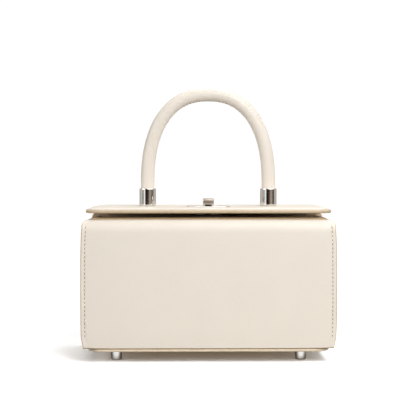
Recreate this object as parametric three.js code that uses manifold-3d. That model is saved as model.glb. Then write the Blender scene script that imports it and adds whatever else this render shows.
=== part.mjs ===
// Box bag: a stiff cream leather mini handbag that stands on four metal feet.
// The front panel bends back at the shoulder and runs on under the lid as a shelf. The lid is a flat
// leather board with softly drooping edges, joined to the back panel by a leather hinge strip and held
// shut by a turn lock. A round leather handle stands on the lid in two metal ferrules.
// Millimetres, +Z up, +X to the right seen from the front, which faces -Y. The origin lies on the floor
// under the middle of the bag.

import * as THREE from 'three';
import { mergeVertices } from 'three/addons/utils/BufferGeometryUtils.js';
import Module from 'manifold-3d';

const wasm = await Module();
wasm.setup();

// Clearance that every two pieces keep, and how far a cutting tool runs past what it cuts
const seatGap = 0.3;
const cutMargin = 1;

// Body
const bodyWidth = 215.6;
const bodyDepth = 100;
const panelHeight = 108.6;
const panelLeather = 2.4;
const shoulderDepth = 6;
const shoulderHeight = 11;
const backPanelRise = 2.6;
const shelfMargin = 2;

// Side edges of the front and back panels
const sidePullIn = 2.55;
const topCornerIn = 4.6;
const topCornerDown = 6.5;

// How far the side edge is pulled in, as shares of sidePullIn, at shares of the panel's height
const sideEdge = [
  { up: 0, pull: 0.85 },
  { up: 0.03, pull: 0.58 },
  { up: 0.07, pull: 0.28 },
  { up: 0.12, pull: 0.1 },
  { up: 0.22, pull: 0.02 },
  { up: 0.5, pull: 0 },
  { up: 0.8, pull: 0.1 },
  { up: 1, pull: 0.39 },
];

// Gussets, the end walls, with flanges that are sewn to the front and back panels
const gussetLeather = 2.2;
const flangeWidth = 5.9;
const flangeLeather = 1.8;
const flangeEdgeInset = 0.3;

// Base
const baseThickness = 2.3;
const baseSideInset = 5.3;
const baseFrontInset = 0.5;
const baseCornerRadius = 13;

// Feet
const footHeight = 9.5;
const footTopDiameter = 10.2;
const footBottomDiameter = 9.3;
const footSideInset = 28.8;
const footFrontInset = 20;
const footChamfer = 1;
const footStudDiameter = 3.6;
const footStudClearance = 0.3;

// Lid
const lidThickness = 3.2;
const lidGap = 5.2;
const lidSideInset = 3.65;
const lidOverhang = 0.6;
const lidCornerRadius = 15;
const lidDroop = 1.6;
const lidDroopWidth = 10;

// Hinge strip
const hingeLeather = 1.5;
const hingeSideInset = 7.7;
const hingeBendRadius = 7;
const hingeTail = 20;
const hingeTongue = 18;

// Handle
const handleDiameter = 12;
const handleSpan = 106.3;
const archHeight = 78.7;
const archPower = 2.35;
const handleLegRise = 3.7;

// Ferrules, the metal sockets of the handle, and their nuts under the lid
const ferruleDiameter = 14.6;
const ferruleHeight = 15.2;
const ferruleChamfer = 0.5;
const socketDepth = 11.2;
const socketClearance = 0.4;
const studDiameter = 4.4;
const studClearance = 0.4;
const nutDiameter = 11;
const nutThickness = 2;

// Turn lock
const lockSetback = 35;
const plateLength = 37.4;
const plateWidth = 22;
const plateThickness = 1.2;
const plateCornerRadius = 7;
const knobLength = 18;
const knobWidth = 9.3;
const knobHeight = 5.2;
const knobEdge = 0.7;
const knobCornerRadius = 1.3;
const knobLift = 0.4;
const slotClearance = 0.8;
const postDiameter = 6;
const postClearance = 0.4;
const lockBaseLength = 30;
const lockBaseWidth = 20;
const lockBaseHeight = 3.2;
const lockBaseFloor = 1;
const lockBaseCornerRadius = 4;

// Facets
const bendSteps = 8;
const sideSteps = 14;
const cornerSteps = 6;
const droopSteps = 4;
const handleSides = 16;
const handleSteps = 56;
const roundSides = 32;
const smallRoundSides = 24;

// Heights and places that follow from the sizes above
const bodyHalfWidth = bodyWidth / 2;
const frontY = -bodyDepth / 2;
const backY = bodyDepth / 2;
const baseTop = footHeight + baseThickness;
const panelBottom = baseTop + seatGap;
const shelfTop = panelBottom + panelHeight;
const backPanelTop = shelfTop + backPanelRise;
const lidUnderside = shelfTop + lidGap + lidDroop;
const lidTop = lidUnderside + lidThickness;
const gussetOuterX = bodyHalfWidth - flangeWidth;
const gussetInnerX = gussetOuterX - gussetLeather;
const lockY = frontY + lockSetback;
const shelfBackY = lockY + lockBaseWidth / 2 + shelfMargin;
const ferruleBottom = lidTop + seatGap;
const ferruleTop = ferruleBottom + ferruleHeight;
const socketFloor = ferruleTop - socketDepth;
const socketRadius = handleDiameter / 2 + socketClearance;
const nutTop = lidUnderside - seatGap;
const nutBottom = nutTop - nutThickness;
const plateBottom = lidTop + seatGap;
const plateTop = plateBottom + plateThickness;
const knobBottom = plateTop + knobLift;
const lockBaseBottom = shelfTop + seatGap;
const lockBaseTop = lockBaseBottom + lockBaseHeight;
const postBottom = lockBaseBottom + lockBaseFloor + seatGap;

// Materials
const leather = { color: 0xe9dfcf, roughness: 0.45, metalness: 0 };
const edgeLeather = { color: 0xd2bf9f, roughness: 0.55, metalness: 0 };
const chrome = { color: 0xd6d4d0, roughness: 0.12, metalness: 1 };
const darkChrome = { color: 0x968a79, roughness: 0.2, metalness: 1 };

// Turns a drawing plane into the plane of a panel: sideways faces +X, frontal faces -Y
const sideways = new THREE.Matrix4().makeBasis(
  new THREE.Vector3(0, 1, 0),
  new THREE.Vector3(0, 0, 1),
  new THREE.Vector3(1, 0, 0),
);
const frontal = new THREE.Matrix4().makeBasis(
  new THREE.Vector3(1, 0, 0),
  new THREE.Vector3(0, 0, 1),
  new THREE.Vector3(0, -1, 0),
);

function makeMesh(name, geometry, look) {
  const mesh = new THREE.Mesh(geometry, new THREE.MeshStandardMaterial(look));
  mesh.name = name;
  return mesh;
}

// A closed geometry as a solid that can be cut and joined
function toSolid(geometry) {
  const bare = geometry.clone();
  bare.deleteAttribute('normal');
  bare.deleteAttribute('uv');
  const merged = mergeVertices(bare, 1e-4);
  return new wasm.Manifold(new wasm.Mesh({
    numProp: 3,
    vertProperties: new Float32Array(merged.attributes.position.array),
    triVerts: new Uint32Array(merged.index.array),
  }));
}

function toGeometry(solid) {
  const mesh = solid.getMesh();
  const geometry = new THREE.BufferGeometry();
  geometry.setAttribute('position', new THREE.BufferAttribute(new Float32Array(mesh.vertProperties), 3));
  geometry.setIndex(new THREE.BufferAttribute(new Uint32Array(mesh.triVerts), 1));
  geometry.computeVertexNormals();
  return geometry;
}

// Extrudes a flat shape without bevel, straight up from z = 0
function extrude(shape, depth, curveSegments = cornerSteps) {
  return new THREE.ExtrudeGeometry(shape, { depth, curveSegments, bevelEnabled: false });
}

function roundedRectangle(width, height, radius) {
  const right = width / 2;
  const top = height / 2;
  const shape = new THREE.Shape();
  shape.moveTo(right, radius - top);
  shape.lineTo(right, top - radius);
  shape.absarc(right - radius, top - radius, radius, 0, Math.PI / 2);
  shape.lineTo(radius - right, top);
  shape.absarc(radius - right, top - radius, radius, Math.PI / 2, Math.PI);
  shape.lineTo(-right, radius - top);
  shape.absarc(radius - right, radius - top, radius, Math.PI, 1.5 * Math.PI);
  shape.lineTo(right - radius, -top);
  shape.absarc(right - radius, radius - top, radius, 1.5 * Math.PI, 2 * Math.PI);
  return shape;
}

// A shape on the plan, raised into a slab between two heights
function slab(shape, bottom, top, y = 0) {
  return extrude(shape, top - bottom).translate(0, y, bottom);
}

function uprightCylinder(radius, bottom, top, x, y) {
  const geometry = new THREE.CylinderGeometry(radius, radius, top - bottom, smallRoundSides);
  return geometry.rotateX(Math.PI / 2).translate(x, y, (bottom + top) / 2);
}

// A turned piece about the vertical line through x, y, from its profile of radius and height
function turned(profile, sides, x, y) {
  const points = profile.map(([radius, height]) => new THREE.Vector2(radius, height));
  const geometry = new THREE.LatheGeometry(points, sides);
  return geometry.rotateX(Math.PI / 2).translate(x, y, 0);
}

// Right-hand edge of a panel seen from the front, from its foot to its top corner
function panelEdge(top, inset) {
  const height = top - panelBottom;
  const cornerShare = (height - topCornerDown) / height;
  const rows = sideEdge.map(({ up, pull }) => new THREE.Vector2(
    bodyHalfWidth - inset - sidePullIn * pull,
    panelBottom + height * cornerShare * up,
  ));
  const side = new THREE.SplineCurve(rows).getPoints(sideSteps);
  const end = side[side.length - 1];
  const corner = new THREE.QuadraticBezierCurve(
    end,
    new THREE.Vector2(end.x, top),
    new THREE.Vector2(end.x - topCornerIn, top),
  );
  return [...side, ...corner.getPoints(cornerSteps).slice(1)];
}

// Outline of a panel seen from the front
function panelOutline(top, inset) {
  const right = panelEdge(top, inset);
  const left = right.map(({ x, y }) => new THREE.Vector2(-x, y)).reverse();
  return new THREE.Shape([...right, ...left]);
}

// A slab of a panel's outline between two depths
function panelSlab(top, inset, near, far) {
  return extrude(panelOutline(top, inset), far - near).applyMatrix4(frontal).translate(0, far, 0);
}

// Centre and half axes of the shoulder's quarter ellipse, inset behind the outer surface
function shoulderBend(inset) {
  return {
    y: frontY + shoulderDepth,
    z: shelfTop - shoulderHeight,
    depth: shoulderDepth - inset,
    height: shoulderHeight - inset,
  };
}

// Side view of a leather sheet that runs up behind the front face and bends back at the shoulder.
// It lies inset behind the outer surface and ends at endY.
function shoulderSection(inset, thickness, endY) {
  const outer = shoulderBend(inset);
  const inner = shoulderBend(inset + thickness);
  const { y, z } = outer;
  const shape = new THREE.Shape();
  shape.moveTo(y - outer.depth, panelBottom);
  shape.lineTo(y - inner.depth, panelBottom);
  shape.lineTo(y - inner.depth, z);
  shape.absellipse(y, z, inner.depth, inner.height, Math.PI, Math.PI / 2, true);
  shape.lineTo(endY, z + inner.height);
  shape.lineTo(endY, z + outer.height);
  shape.lineTo(y, z + outer.height);
  shape.absellipse(y, z, outer.depth, outer.height, Math.PI / 2, Math.PI, false);
  return shape;
}

function makeFrontPanel() {
  const section = shoulderSection(0, panelLeather, shelfBackY);
  const sheet = extrude(section, bodyWidth, bendSteps)
    .applyMatrix4(sideways)
    .translate(-bodyHalfWidth, 0, 0);
  const outline = panelSlab(shelfTop, 0, frontY - cutMargin, shelfBackY + cutMargin);
  return toGeometry(toSolid(sheet).intersect(toSolid(outline)));
}

function makeBackPanel() {
  return panelSlab(backPanelTop, 0, backY - panelLeather, backY);
}

// Side view of a gusset: it fills the space between the panels, passes under the shelf and stands as
// high as the shelf behind it
function gussetSection() {
  const inset = panelLeather + seatGap;
  const { y, z, depth, height } = shoulderBend(inset);
  const shape = new THREE.Shape();
  shape.moveTo(frontY + inset, panelBottom);
  shape.lineTo(backY - inset, panelBottom);
  shape.lineTo(backY - inset, shelfTop);
  shape.lineTo(shelfBackY + seatGap, shelfTop);
  shape.lineTo(shelfBackY + seatGap, z + height);
  shape.lineTo(y, z + height);
  shape.absellipse(y, z, depth, height, Math.PI / 2, Math.PI, false);
  return shape;
}

function makeRightGusset() {
  const inset = panelLeather + seatGap;
  const wall = extrude(gussetSection(), gussetLeather, bendSteps)
    .applyMatrix4(sideways)
    .translate(gussetInnerX, 0, 0);
  const flangeSection = shoulderSection(inset, flangeLeather, frontY + shoulderDepth + flangeLeather);
  const frontSheet = extrude(flangeSection, flangeWidth + gussetLeather, bendSteps)
    .applyMatrix4(sideways)
    .translate(gussetInnerX, 0, 0);
  const frontOutline = panelSlab(shelfTop, flangeEdgeInset, frontY, 0);
  const frontFlange = toSolid(frontSheet).intersect(toSolid(frontOutline));
  const rearSide = new THREE.BoxGeometry(
    flangeWidth + gussetLeather,
    flangeLeather,
    shelfTop - panelBottom,
  ).translate(
    gussetInnerX + (flangeWidth + gussetLeather) / 2,
    backY - inset - flangeLeather / 2,
    (shelfTop + panelBottom) / 2,
  );
  const rearOutline = panelSlab(shelfTop, flangeEdgeInset, 0, backY);
  const rearFlange = toSolid(rearSide).intersect(toSolid(rearOutline));
  return toGeometry(toSolid(wall).add(frontFlange).add(rearFlange));
}

// The other gusset is its mirror image, with each triangle turned back to face outwards
function mirrored(geometry) {
  const copy = geometry.clone().scale(-1, 1, 1);
  const index = copy.index.array;
  for (let i = 0; i < index.length; i += 3) {
    [index[i + 1], index[i + 2]] = [index[i + 2], index[i + 1]];
  }
  return copy;
}

function footPlaces() {
  const x = bodyHalfWidth - footSideInset;
  const y = backY - footFrontInset;
  return [
    { name: 'foot_front_left', x: -x, y: -y },
    { name: 'foot_front_right', x, y: -y },
    { name: 'foot_rear_left', x: -x, y },
    { name: 'foot_rear_right', x, y },
  ];
}

function makeBasePanel() {
  const width = bodyWidth - 2 * baseSideInset;
  const depth = bodyDepth - 2 * baseFrontInset;
  let solid = toSolid(slab(roundedRectangle(width, depth, baseCornerRadius), footHeight, baseTop));
  const radius = footStudDiameter / 2 + footStudClearance;
  for (const { x, y } of footPlaces()) {
    const hole = uprightCylinder(radius, footHeight - cutMargin, baseTop + cutMargin, x, y);
    solid = solid.subtract(toSolid(hole));
  }
  return toGeometry(solid);
}

function makeFoot(x, y) {
  const top = footHeight - seatGap;
  const bottomRadius = footBottomDiameter / 2;
  const topRadius = footTopDiameter / 2;
  const studRadius = footStudDiameter / 2;
  const profile = [
    [0, 0],
    [bottomRadius - footChamfer, 0],
    [bottomRadius, footChamfer],
    [topRadius, top],
    [studRadius, top],
    [studRadius, baseTop],
    [0, baseTop],
  ];
  return turned(profile, smallRoundSides, x, y);
}

// A board of even thickness whose edges droop: the bevel rings of a plain slab are laid on a parabola
// that falls from the flat middle to the rim
function droopedBoard(shape) {
  const geometry = new THREE.ExtrudeGeometry(shape, {
    depth: lidThickness,
    curveSegments: cornerSteps,
    bevelThickness: lidDroop,
    bevelSize: lidDroopWidth,
    bevelOffset: -lidDroopWidth,
    bevelSegments: droopSteps,
  });
  const position = geometry.attributes.position;
  for (let i = 0; i < position.count; i += 1) {
    const height = position.getZ(i);
    const isTop = height > lidThickness / 2;
    const ringHeight = isTop ? height - lidThickness : -height;
    const fall = lidDroop * (1 - (ringHeight / lidDroop) ** 2);
    position.setZ(i, (isTop ? lidTop : lidUnderside) - fall);
  }
  return geometry;
}

function lockSlot(clearance) {
  const length = knobLength + 2 * clearance;
  const width = knobWidth + 2 * clearance;
  return roundedRectangle(length, width, knobCornerRadius + clearance);
}

function makeLid() {
  const width = bodyWidth - 2 * lidSideInset;
  const depth = bodyDepth + 2 * lidOverhang;
  let solid = toSolid(droopedBoard(roundedRectangle(width, depth, lidCornerRadius)));
  const below = lidUnderside - cutMargin;
  const above = lidTop + cutMargin;
  solid = solid.subtract(toSolid(slab(lockSlot(slotClearance + seatGap), below, above, lockY)));
  for (const x of [-handleSpan / 2, handleSpan / 2]) {
    solid = solid.subtract(toSolid(uprightCylinder(studDiameter / 2 + studClearance, below, above, x, 0)));
  }
  return toGeometry(solid);
}

// A leather strip sewn inside the back panel, bent forward and sewn under the lid
function makeHingeStrip() {
  const outerY = backY - panelLeather - seatGap;
  const outerZ = lidUnderside - seatGap;
  const outerRadius = hingeBendRadius + hingeLeather / 2;
  const innerRadius = hingeBendRadius - hingeLeather / 2;
  const centreY = outerY - outerRadius;
  const centreZ = outerZ - outerRadius;
  const shape = new THREE.Shape();
  shape.moveTo(outerY - hingeLeather, centreZ - hingeTail);
  shape.lineTo(outerY, centreZ - hingeTail);
  shape.lineTo(outerY, centreZ);
  shape.absarc(centreY, centreZ, outerRadius, 0, Math.PI / 2, false);
  shape.lineTo(centreY - hingeTongue, outerZ);
  shape.lineTo(centreY - hingeTongue, outerZ - hingeLeather);
  shape.lineTo(centreY, outerZ - hingeLeather);
  shape.absarc(centreY, centreZ, innerRadius, Math.PI / 2, 0, true);
  const halfWidth = gussetInnerX - hingeSideInset;
  return extrude(shape, 2 * halfWidth, bendSteps).applyMatrix4(sideways).translate(-halfWidth, 0, 0);
}

// Middle line of the handle's arch, a superellipse from one leg to the other
class HandleArch extends THREE.Curve {
  getPoint(t, target = new THREE.Vector3()) {
    const angle = Math.PI * t;
    const across = Math.abs(Math.cos(angle)) ** (2 / archPower);
    const up = Math.abs(Math.sin(angle)) ** (2 / archPower);
    const x = -Math.sign(Math.cos(angle)) * across * handleSpan / 2;
    return target.set(x, 0, ferruleTop + handleLegRise + archHeight * up);
  }
}

// The arch stands on two straight legs, whose feet are in the ferrules
function handleLine() {
  const arch = new HandleArch();
  const leftFoot = new THREE.Vector3(-handleSpan / 2, 0, socketFloor + seatGap);
  const rightFoot = new THREE.Vector3(handleSpan / 2, 0, socketFloor + seatGap);
  const line = new THREE.CurvePath();
  line.add(new THREE.LineCurve3(leftFoot, arch.getPoint(0)));
  line.add(arch);
  line.add(new THREE.LineCurve3(arch.getPoint(1), rightFoot));
  return line;
}

function makeHandle() {
  const circle = new THREE.Shape().absarc(0, 0, handleDiameter / 2, 0, 2 * Math.PI);
  const ring = new THREE.Shape(circle.getSpacedPoints(handleSides).slice(0, handleSides));
  return new THREE.ExtrudeGeometry(ring, { steps: handleSteps, extrudePath: handleLine() });
}

function makeFerrule(x) {
  const outer = ferruleDiameter / 2;
  const stud = studDiameter / 2;
  const profile = [
    [0, nutBottom],
    [stud, nutBottom],
    [stud, ferruleBottom],
    [outer - ferruleChamfer, ferruleBottom],
    [outer, ferruleBottom + ferruleChamfer],
    [outer, ferruleTop - ferruleChamfer],
    [outer - ferruleChamfer, ferruleTop],
    [socketRadius, ferruleTop],
    [socketRadius, socketFloor],
    [0, socketFloor],
  ];
  return turned(profile, roundSides, x, 0);
}

function makeNut(x) {
  const bore = studDiameter / 2 + studClearance;
  const profile = [
    [bore, nutBottom],
    [nutDiameter / 2, nutBottom],
    [nutDiameter / 2, nutTop],
    [bore, nutTop],
    [bore, nutBottom],
  ];
  return turned(profile, smallRoundSides, x, 0);
}

function makeLockPlate() {
  const outline = roundedRectangle(plateLength, plateWidth, plateCornerRadius);
  const plate = slab(outline, plateBottom, plateTop, lockY);
  const slot = slab(lockSlot(slotClearance), plateBottom - cutMargin, plateTop + cutMargin, lockY);
  return toGeometry(toSolid(plate).subtract(toSolid(slot)));
}

// The knob stands across the slot when the bag is locked, and turns in line with it to let the lid go
function makeTurnKnob() {
  const grip = new THREE.ExtrudeGeometry(roundedRectangle(knobWidth, knobLength, knobCornerRadius), {
    depth: knobHeight - 2 * knobEdge,
    curveSegments: cornerSteps,
    bevelThickness: knobEdge,
    bevelSize: knobEdge,
    bevelOffset: -knobEdge,
    bevelSegments: 2,
  }).translate(0, lockY, knobBottom + knobEdge);
  const post = uprightCylinder(postDiameter / 2, postBottom, knobBottom + knobHeight / 2, 0, lockY);
  return toGeometry(toSolid(grip).add(toSolid(post)));
}

function makeLockBase() {
  const block = slab(
    roundedRectangle(lockBaseLength, lockBaseWidth, lockBaseCornerRadius),
    lockBaseBottom,
    lockBaseTop,
    lockY,
  );
  const socket = uprightCylinder(
    postDiameter / 2 + postClearance,
    lockBaseBottom + lockBaseFloor,
    lockBaseTop + cutMargin,
    0,
    lockY,
  );
  return toGeometry(toSolid(block).subtract(toSolid(socket)));
}

const group = new THREE.Group();

const rightGusset = makeRightGusset();
group.add(makeMesh('front_panel', makeFrontPanel(), leather));
group.add(makeMesh('back_panel', makeBackPanel(), leather));
group.add(makeMesh('left_gusset', mirrored(rightGusset), leather));
group.add(makeMesh('right_gusset', rightGusset, leather));
group.add(makeMesh('base_panel', makeBasePanel(), edgeLeather));
group.add(makeMesh('lid', makeLid(), leather));
group.add(makeMesh('hinge_strip', makeHingeStrip(), edgeLeather));
group.add(makeMesh('handle', makeHandle(), leather));

for (const [side, x] of [['left', -handleSpan / 2], ['right', handleSpan / 2]]) {
  group.add(makeMesh(`${side}_ferrule`, makeFerrule(x), chrome));
  group.add(makeMesh(`${side}_handle_nut`, makeNut(x), chrome));
}

group.add(makeMesh('lock_plate', makeLockPlate(), chrome));
group.add(makeMesh('lock_base', makeLockBase(), chrome));
group.add(makeMesh('turn_knob', makeTurnKnob(), darkChrome));

for (const { name, x, y } of footPlaces()) {
  group.add(makeMesh(name, makeFoot(x, y), chrome));
}

export default group;
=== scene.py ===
# Dressed model of a cream leather box bag: sewn leather panels with painted edges, a drooping lid board,
# a sewn round handle, and polished metal ferrules, lock and feet. Sizes are in millimetres until a mesh
# is made, and MM turns them into Blender's metres.
import math

import bpy
import numpy as np
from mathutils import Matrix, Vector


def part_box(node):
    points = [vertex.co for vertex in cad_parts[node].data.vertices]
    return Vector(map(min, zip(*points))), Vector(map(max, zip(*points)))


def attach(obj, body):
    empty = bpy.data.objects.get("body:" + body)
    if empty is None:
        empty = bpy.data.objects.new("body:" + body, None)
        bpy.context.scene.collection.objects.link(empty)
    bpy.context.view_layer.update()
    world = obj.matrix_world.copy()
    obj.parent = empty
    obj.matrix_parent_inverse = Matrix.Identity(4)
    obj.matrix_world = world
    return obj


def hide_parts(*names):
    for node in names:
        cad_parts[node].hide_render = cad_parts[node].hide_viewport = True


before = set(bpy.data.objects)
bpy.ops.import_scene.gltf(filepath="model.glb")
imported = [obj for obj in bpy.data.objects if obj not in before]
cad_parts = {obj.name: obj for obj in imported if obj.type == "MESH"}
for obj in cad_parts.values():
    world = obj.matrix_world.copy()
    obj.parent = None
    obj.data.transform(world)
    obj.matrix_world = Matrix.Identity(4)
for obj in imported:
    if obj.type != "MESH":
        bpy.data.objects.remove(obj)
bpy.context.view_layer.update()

MM = 0.001


def node_box(node):
    """Lowest and highest corners of a CAD node, in millimetres."""
    low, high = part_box(node)
    return np.array(low) / MM, np.array(high) / MM


# Places read from the frame
PANEL_LOW, PANEL_HIGH = node_box("front_panel")
BACK_HIGH = node_box("back_panel")[1]
BASE_LOW, BASE_HIGH = node_box("base_panel")
LID_LOW, LID_HIGH = node_box("lid")
HINGE_LOW, HINGE_HIGH = node_box("hinge_strip")
HANDLE_FOOT = node_box("handle")[0][2]
FERRULE_LOW, FERRULE_HIGH = node_box("right_ferrule")
PLATE_LOW, PLATE_HIGH = node_box("lock_plate")
LOCK_BASE_LOW, LOCK_BASE_HIGH = node_box("lock_base")
KNOB_LOW, KNOB_HIGH = node_box("turn_knob")

HALF_WIDTH = PANEL_HIGH[0]
FRONT_Y = PANEL_LOW[1]
BACK_Y = BACK_HIGH[1]
PANEL_BOTTOM = PANEL_LOW[2]
SHELF_TOP = PANEL_HIGH[2]
SHELF_BACK = PANEL_HIGH[1]
BACK_TOP = BACK_HIGH[2]
LID_TOP = LID_HIGH[2]
LOCK_Y = (PLATE_LOW[1] + PLATE_HIGH[1]) / 2

# Leather and seams
SEAT_GAP = 0.3
REST_GAP = 0.02
PANEL_LEATHER = 2.4
GUSSET_LEATHER = 2.2
FLANGE_LEATHER = 1.8
FLANGE_WIDTH = 5.9
HINGE_LEATHER = 1.5
SHOULDER_DEPTH = 6
SHOULDER_HEIGHT = 11
SIDE_PULL_IN = 2.55
TOP_CORNER_IN = 4.6
TOP_CORNER_DOWN = 6.5
SIDE_EDGE = [
    (0, 0.85), (0.03, 0.58), (0.07, 0.28), (0.12, 0.1),
    (0.22, 0.02), (0.5, 0), (0.8, 0.1), (1, 0.39),
]
SIDE_CURVE_STEPS = 12
STITCH_INSET = 3.5
STITCH_PITCH = 3.5
STITCH_LENGTH = 2.5
THREAD_RADIUS = 0.33
HOLE_RADIUS = 0.78
GROOVE_WIDTH = 0.55
GROOVE_DEPTH = 0.3
PUFF_RISE = 0.35
PUFF_REACH = 7.0
PUFF_FADE = 8
PANEL_ROUNDING = 0.75
CORNER_LIFT = 1.1
CORNER_LIFT_START = 86
CORNER_LIFT_HEIGHT = 14
SEAM_BEND_SHARE = 0.75
SEAM_FADE = 6

# How edges, seams and sheets are divided
EDGE_BULGE = 0.12
PAINT_REACH = 1.01
EDGE_STEPS = (0, 0.08, 0.3, 0.65, 1.0)
EDGE_MARGIN = 0.5
SEAM_STEPS = (-1.6, -1.0, -0.6, -0.3, 0, 0.3, 0.6, 1.0, 1.6)
ROW_START = 1.5
ROW_SPACING = 2.5
ROW_REACH = 12
STATION_SPACINGS = (4.0, 0.9, 4.0)
PANEL_COLUMNS = 34
BEND_SAMPLES = 400

# Lid
LID_THICKNESS = 3.2
LID_CORNER = 15
LID_DROOP = 1.6
LID_DROOP_WIDTH = 10
LID_ROUNDING = 1.2
LID_PAINT_REACH = 2.1
CREASE_INSET = 3.2
CREASE_WIDTH = 0.4
CREASE_DEPTH = 0.16
CUT_SHARP_ANGLE = math.radians(50)

# Base
BASE_CORNER = 13
BASE_ROUNDING = 0.8

# Hinge strip
HINGE_RADIUS = 7.75
HINGE_ROUNDING = 0.5
HINGE_ROW_REACH = 6
HINGE_COLUMNS = 20

# Handle
HANDLE_RADIUS = 6
HANDLE_HALF_SPAN = 53.15
ARCH_HEIGHT = 78.7
ARCH_POWER = 2.35
HANDLE_LEG_RISE = 3.7
HANDLE_STATIONS = 181
HANDLE_SIDES = 40
HANDLE_SEAM_WIDTH = 0.16
HANDLE_SEAM_DEPTH = 0.32
ARCH_SAMPLES = 1201
HANDLE_STITCH_LENGTH = 2.2
HANDLE_THREAD_RADIUS = 0.26
HANDLE_STITCH_START = 14.5
HANDLE_STITCH_PITCH = 3.2
HANDLE_STITCH_SUNK = 0.28
HANDLE_STITCH_SLANT = math.radians(62)

# Feet
FOOT_BOTTOM_RADIUS = 4.65
FOOT_EDGE = 1.15

# Lock
PLATE_CORNER = 7
KNOB_LENGTH = 18
KNOB_WIDTH = 9.3
KNOB_CORNER = 1.3
SLOT_CLEARANCE = 0.8
KNOB_CLEARANCE = 0.4
KNOB_EDGE = 0.45
KNOB_EDGE_STEPS = (0, 0.08, 0.2, 0.4, 0.65, 1.0)
POST_RADIUS = 3
POST_CHAMFER = 0.3
POST_CLEARANCE = 0.4
POST_SIDES = 40
LOCK_BASE_CORNER = 4
LOCK_BASE_EDGE = 0.5

# Camera, at the photograph's angle
FRAME_PIXELS = 416
SENSOR_WIDTH = 36
VIEW_END = 50
FOCAL_PIXELS = 1115.1
CAMERA_PLACE = (-13, -982.9, 163.3)
CAMERA_PITCH = 2.0
CAMERA_YAW = -0.755


def make_camera():
    data = bpy.data.cameras.new("camera")
    data.sensor_width = SENSOR_WIDTH
    data.lens = FOCAL_PIXELS / FRAME_PIXELS * data.sensor_width
    data.clip_end = VIEW_END
    camera = bpy.data.objects.new("camera", data)
    camera.location = [v * MM for v in CAMERA_PLACE]
    camera.rotation_euler = (math.radians(90 - CAMERA_PITCH), 0, math.radians(CAMERA_YAW))
    bpy.context.scene.collection.objects.link(camera)
    bpy.context.scene.camera = camera


make_camera()


# Node materials

class Nodes:
    """Short hand for building one node tree. A value is a socket, a number or a colour."""

    def __init__(self, tree):
        self.tree = tree
        self.tree.nodes.clear()

    def put(self, socket, value):
        if isinstance(value, bpy.types.NodeSocket):
            self.tree.links.new(value, socket)
        else:
            socket.default_value = value

    def add(self, kind, settings=None, **inputs):
        node = self.tree.nodes.new(kind)
        for key, value in (settings or {}).items():
            setattr(node, key, value)
        for key, value in inputs.items():
            self.put(node.inputs[key.replace("_", " ")], value)
        return node

    def fill(self, kind, values, settings=None):
        """Fills a node's first inputs in their order and gives its first output."""
        node = self.add(kind, settings)
        for socket, value in zip(node.inputs, values):
            self.put(socket, value)
        return node.outputs[0]

    def math(self, operation, *values):
        return self.fill("ShaderNodeMath", values, {"operation": operation})

    def mix(self, factor, first, second, blend="MIX"):
        """Two colours mixed. A colour mix has its inputs at 0, 6 and 7 and its result at 2."""
        node = self.add("ShaderNodeMix", {"data_type": "RGBA", "blend_type": blend})
        for index, value in ((0, factor), (6, first), (7, second)):
            self.put(node.inputs[index], value)
        return node.outputs[2]

    def spread(self, value, target, source=(0, 1), smooth=False):
        """A value taken from the source range to the target range."""
        settings = {"interpolation_type": "SMOOTHSTEP"} if smooth else None
        node = self.add("ShaderNodeMapRange", settings, Value=value)
        for name, limit in zip(("From Min", "From Max", "To Min", "To Max"), (*source, *target)):
            self.put(node.inputs[name], limit)
        return node.outputs["Result"]

    def noise(self, vector, scale, detail, roughness=0.5):
        node = self.add("ShaderNodeTexNoise", Vector=vector, Scale=scale, Detail=detail, Roughness=roughness)
        return node.outputs["Fac"]

    def bump(self, height, strength, distance):
        node = self.add("ShaderNodeBump", Height=height, Strength=strength, Distance=distance)
        return node.outputs["Normal"]

    def ramp(self, factor, stops):
        node = self.add("ShaderNodeValToRGB", Fac=factor)
        elements = node.color_ramp.elements
        elements[0].position, elements[0].color = stops[0][0], (*stops[0][1], 1)
        elements[1].position, elements[1].color = stops[-1][0], (*stops[-1][1], 1)
        for position, colour in stops[1:-1]:
            elements.new(position).color = (*colour, 1)
        return node.outputs["Color"]

    def surface(self, colour, normal, roughness, **others):
        """Ends a material in its shader and output."""
        shader = self.add(
            "ShaderNodeBsdfPrincipled", Base_Color=colour, Normal=normal, Roughness=roughness, **others
        )
        self.add("ShaderNodeOutputMaterial", Surface=shader.outputs[0])


# Upward parts of the surface direction between which an edge's paint turns to its lighter top colour: partly
# the paint thinning into the leather, partly painted light from above
LIT_TOP_FADE = (0.15, 0.9)
LEATHER_ROUGHNESS = (0.36, 0.5)
SUEDE_ROUGHNESS = 0.9
THREAD_ROUGHNESS = 0.6
BLACK = (0, 0, 0)
WHITE = (1, 1, 1)


def new_material(name):
    """A new material, its nodes, and the place on the piece that its pattern follows."""
    material = bpy.data.materials.new(name)
    material.use_nodes = True
    n = Nodes(material.node_tree)
    return material, n, n.add("ShaderNodeTexCoord").outputs["Object"]


def shade(colour, factor):
    return tuple(min(1.0, c * factor) for c in colour)


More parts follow.
